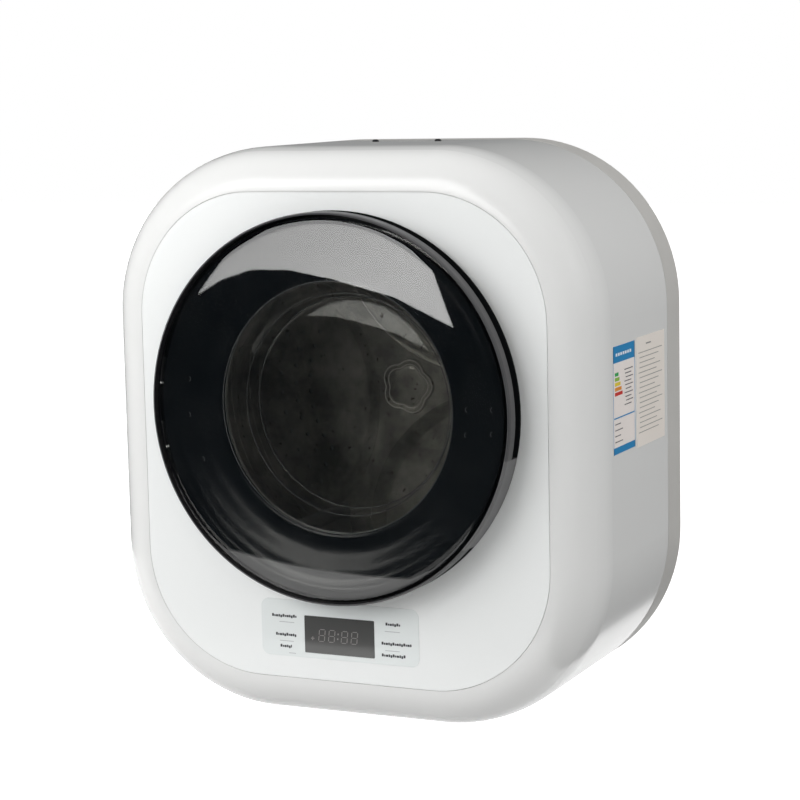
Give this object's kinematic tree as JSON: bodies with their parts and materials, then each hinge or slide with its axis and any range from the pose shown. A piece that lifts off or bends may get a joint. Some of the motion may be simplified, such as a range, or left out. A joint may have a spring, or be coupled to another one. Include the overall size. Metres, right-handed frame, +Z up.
{
  "type": "clothes dryer",
  "caption": "Wall-hung drum clothes dryer with a white rounded cabinet, smoked dome door, touch panel and a rear exhaust.",
  "frame": {"origin": "centre of the wall-anchor bolt pattern, on the plane of the wall", "axes": "+Z up, -Y out of the front (the door faces -Y), +X to the viewer's right"},
  "size_m": [0.5503, 0.331, 0.6],
  "materials": {
    "white_shell": "gloss white moulding",
    "white_panel": "satin white",
    "grey_cover": "fine grain",
    "film": "clear polyester film",
    "display": "dark smoked",
    "zinc_sheet": "galvanised sheet",
    "steel_plate": "zinc plated",
    "screw_steel": "zinc plated",
    "polished_steel": "ground",
    "felt": "wool felt",
    "circuit_board": "solder mask",
    "ducting_plastic": "moulded polypropylene",
    "motor_case": "satin",
    "capacitor_can": "drawn can",
    "heater_sheath": "heat tinted",
    "cutout_ceramic": "unglazed",
    "bronze": "sintered",
    "dark_plastic": "fine grain",
    "belt_rubber": "ribbed",
    "label_print": "coated label",
    "label_plain": "coated label",
    "ring_grey": "satin metallic grey",
    "smoked_lens": "smoked, polished",
    "gloss_black": "polished black",
    "bowl_glass": "clear, polished",
    "back_grey": "fine grain",
    "seal_rubber": "moulded",
    "magnet": "sintered ferrite",
    "drum_steel": "drawn stainless",
    "baffle_plastic": "moulded",
    "pulley_alloy": "turned",
    "filter_plastic": "moulded",
    "lint_mesh": "fine screen"
  },
  "bodies": {
    "root": {"cabinet_shell": "white_shell", "front_panel": "white_panel", "rear_cover": "grey_cover", "rear_panel": "grey_cover", "wall_bracket": "steel_plate", "case_screws": "screw_steel", "front_bulkhead": "zinc_sheet", "rear_bulkhead": "zinc_sheet", "felt_seal": "felt", "control_overlay": "film", "display_window": "display", "display_board": "circuit_board", "main_board": "circuit_board", "board_tray": "ducting_plastic", "motor_housing": "motor_case", "motor_mount": "zinc_sheet", "motor_capacitor": "capacitor_can", "blower_housing": "ducting_plastic", "blower_cover": "zinc_sheet", "exhaust_duct": "zinc_sheet", "exhaust_collar": "zinc_sheet", "heater_box": "zinc_sheet", "heater_elements": "heater_sheath", "thermal_cutout": "cutout_ceramic", "drum_bearing": "bronze", "bearing_housing": "steel_plate", "filter_chute": "ducting_plastic", "hinge_bracket": "zinc_sheet", "hinge_pins": "polished_steel", "door_catch": "dark_plastic", "reed_switch": "circuit_board", "drive_belt": "belt_rubber", "rating_label": "label_print", "care_label": "label_plain", "cable_gland": "dark_plastic", "top_plugs": "dark_plastic"},
    "door": {"door_ring": "ring_grey", "door_lens": "smoked_lens", "door_frame": "gloss_black", "door_glass": "bowl_glass", "door_back": "back_grey", "door_seal": "seal_rubber", "door_strike": "polished_steel", "hinge_leaf": "polished_steel", "door_screws": "screw_steel", "door_magnet": "magnet"},
    "drum": {"drum_shell": "drum_steel", "drum_front_ring": "drum_steel", "drum_back": "drum_steel", "drum_hub": "drum_steel", "drum_baffle_1": "baffle_plastic", "drum_baffle_2": "baffle_plastic", "drum_baffle_3": "baffle_plastic", "drum_shaft": "polished_steel"},
    "rotor": {"motor_shaft": "polished_steel", "motor_pulley": "pulley_alloy", "blower_wheel": "ducting_plastic"},
    "filter": {"filter_lid": "white_shell", "filter_frame": "filter_plastic", "filter_mesh": "lint_mesh"}
  },
  "joints": [
    {"name": "door_hinge", "type": "hinge", "parent": "root", "child": "door", "pos_m": [-0.2, -0.292, 0.0345], "axis": [0, 0, -1], "range_deg": [0, 110]},
    {"name": "drum_spin", "type": "hinge", "parent": "root", "child": "drum", "pos_m": [0, -0.17, 0.0345], "axis": [0, 1, 0], "continuous": true},
    {"name": "motor_spin", "type": "hinge", "parent": "root", "child": "rotor", "pos_m": [-0.1, -0.14, -0.213], "axis": [0, 1, 0], "continuous": true},
    {"name": "filter_slide", "type": "slide", "parent": "root", "child": "filter", "axis": [0, 0, 1], "range_m": [0, 0.19]}
  ],
  "couplings": [
    {"joint": "motor_spin", "follows": "drum_spin", "ratio": 15.15}
  ]
}
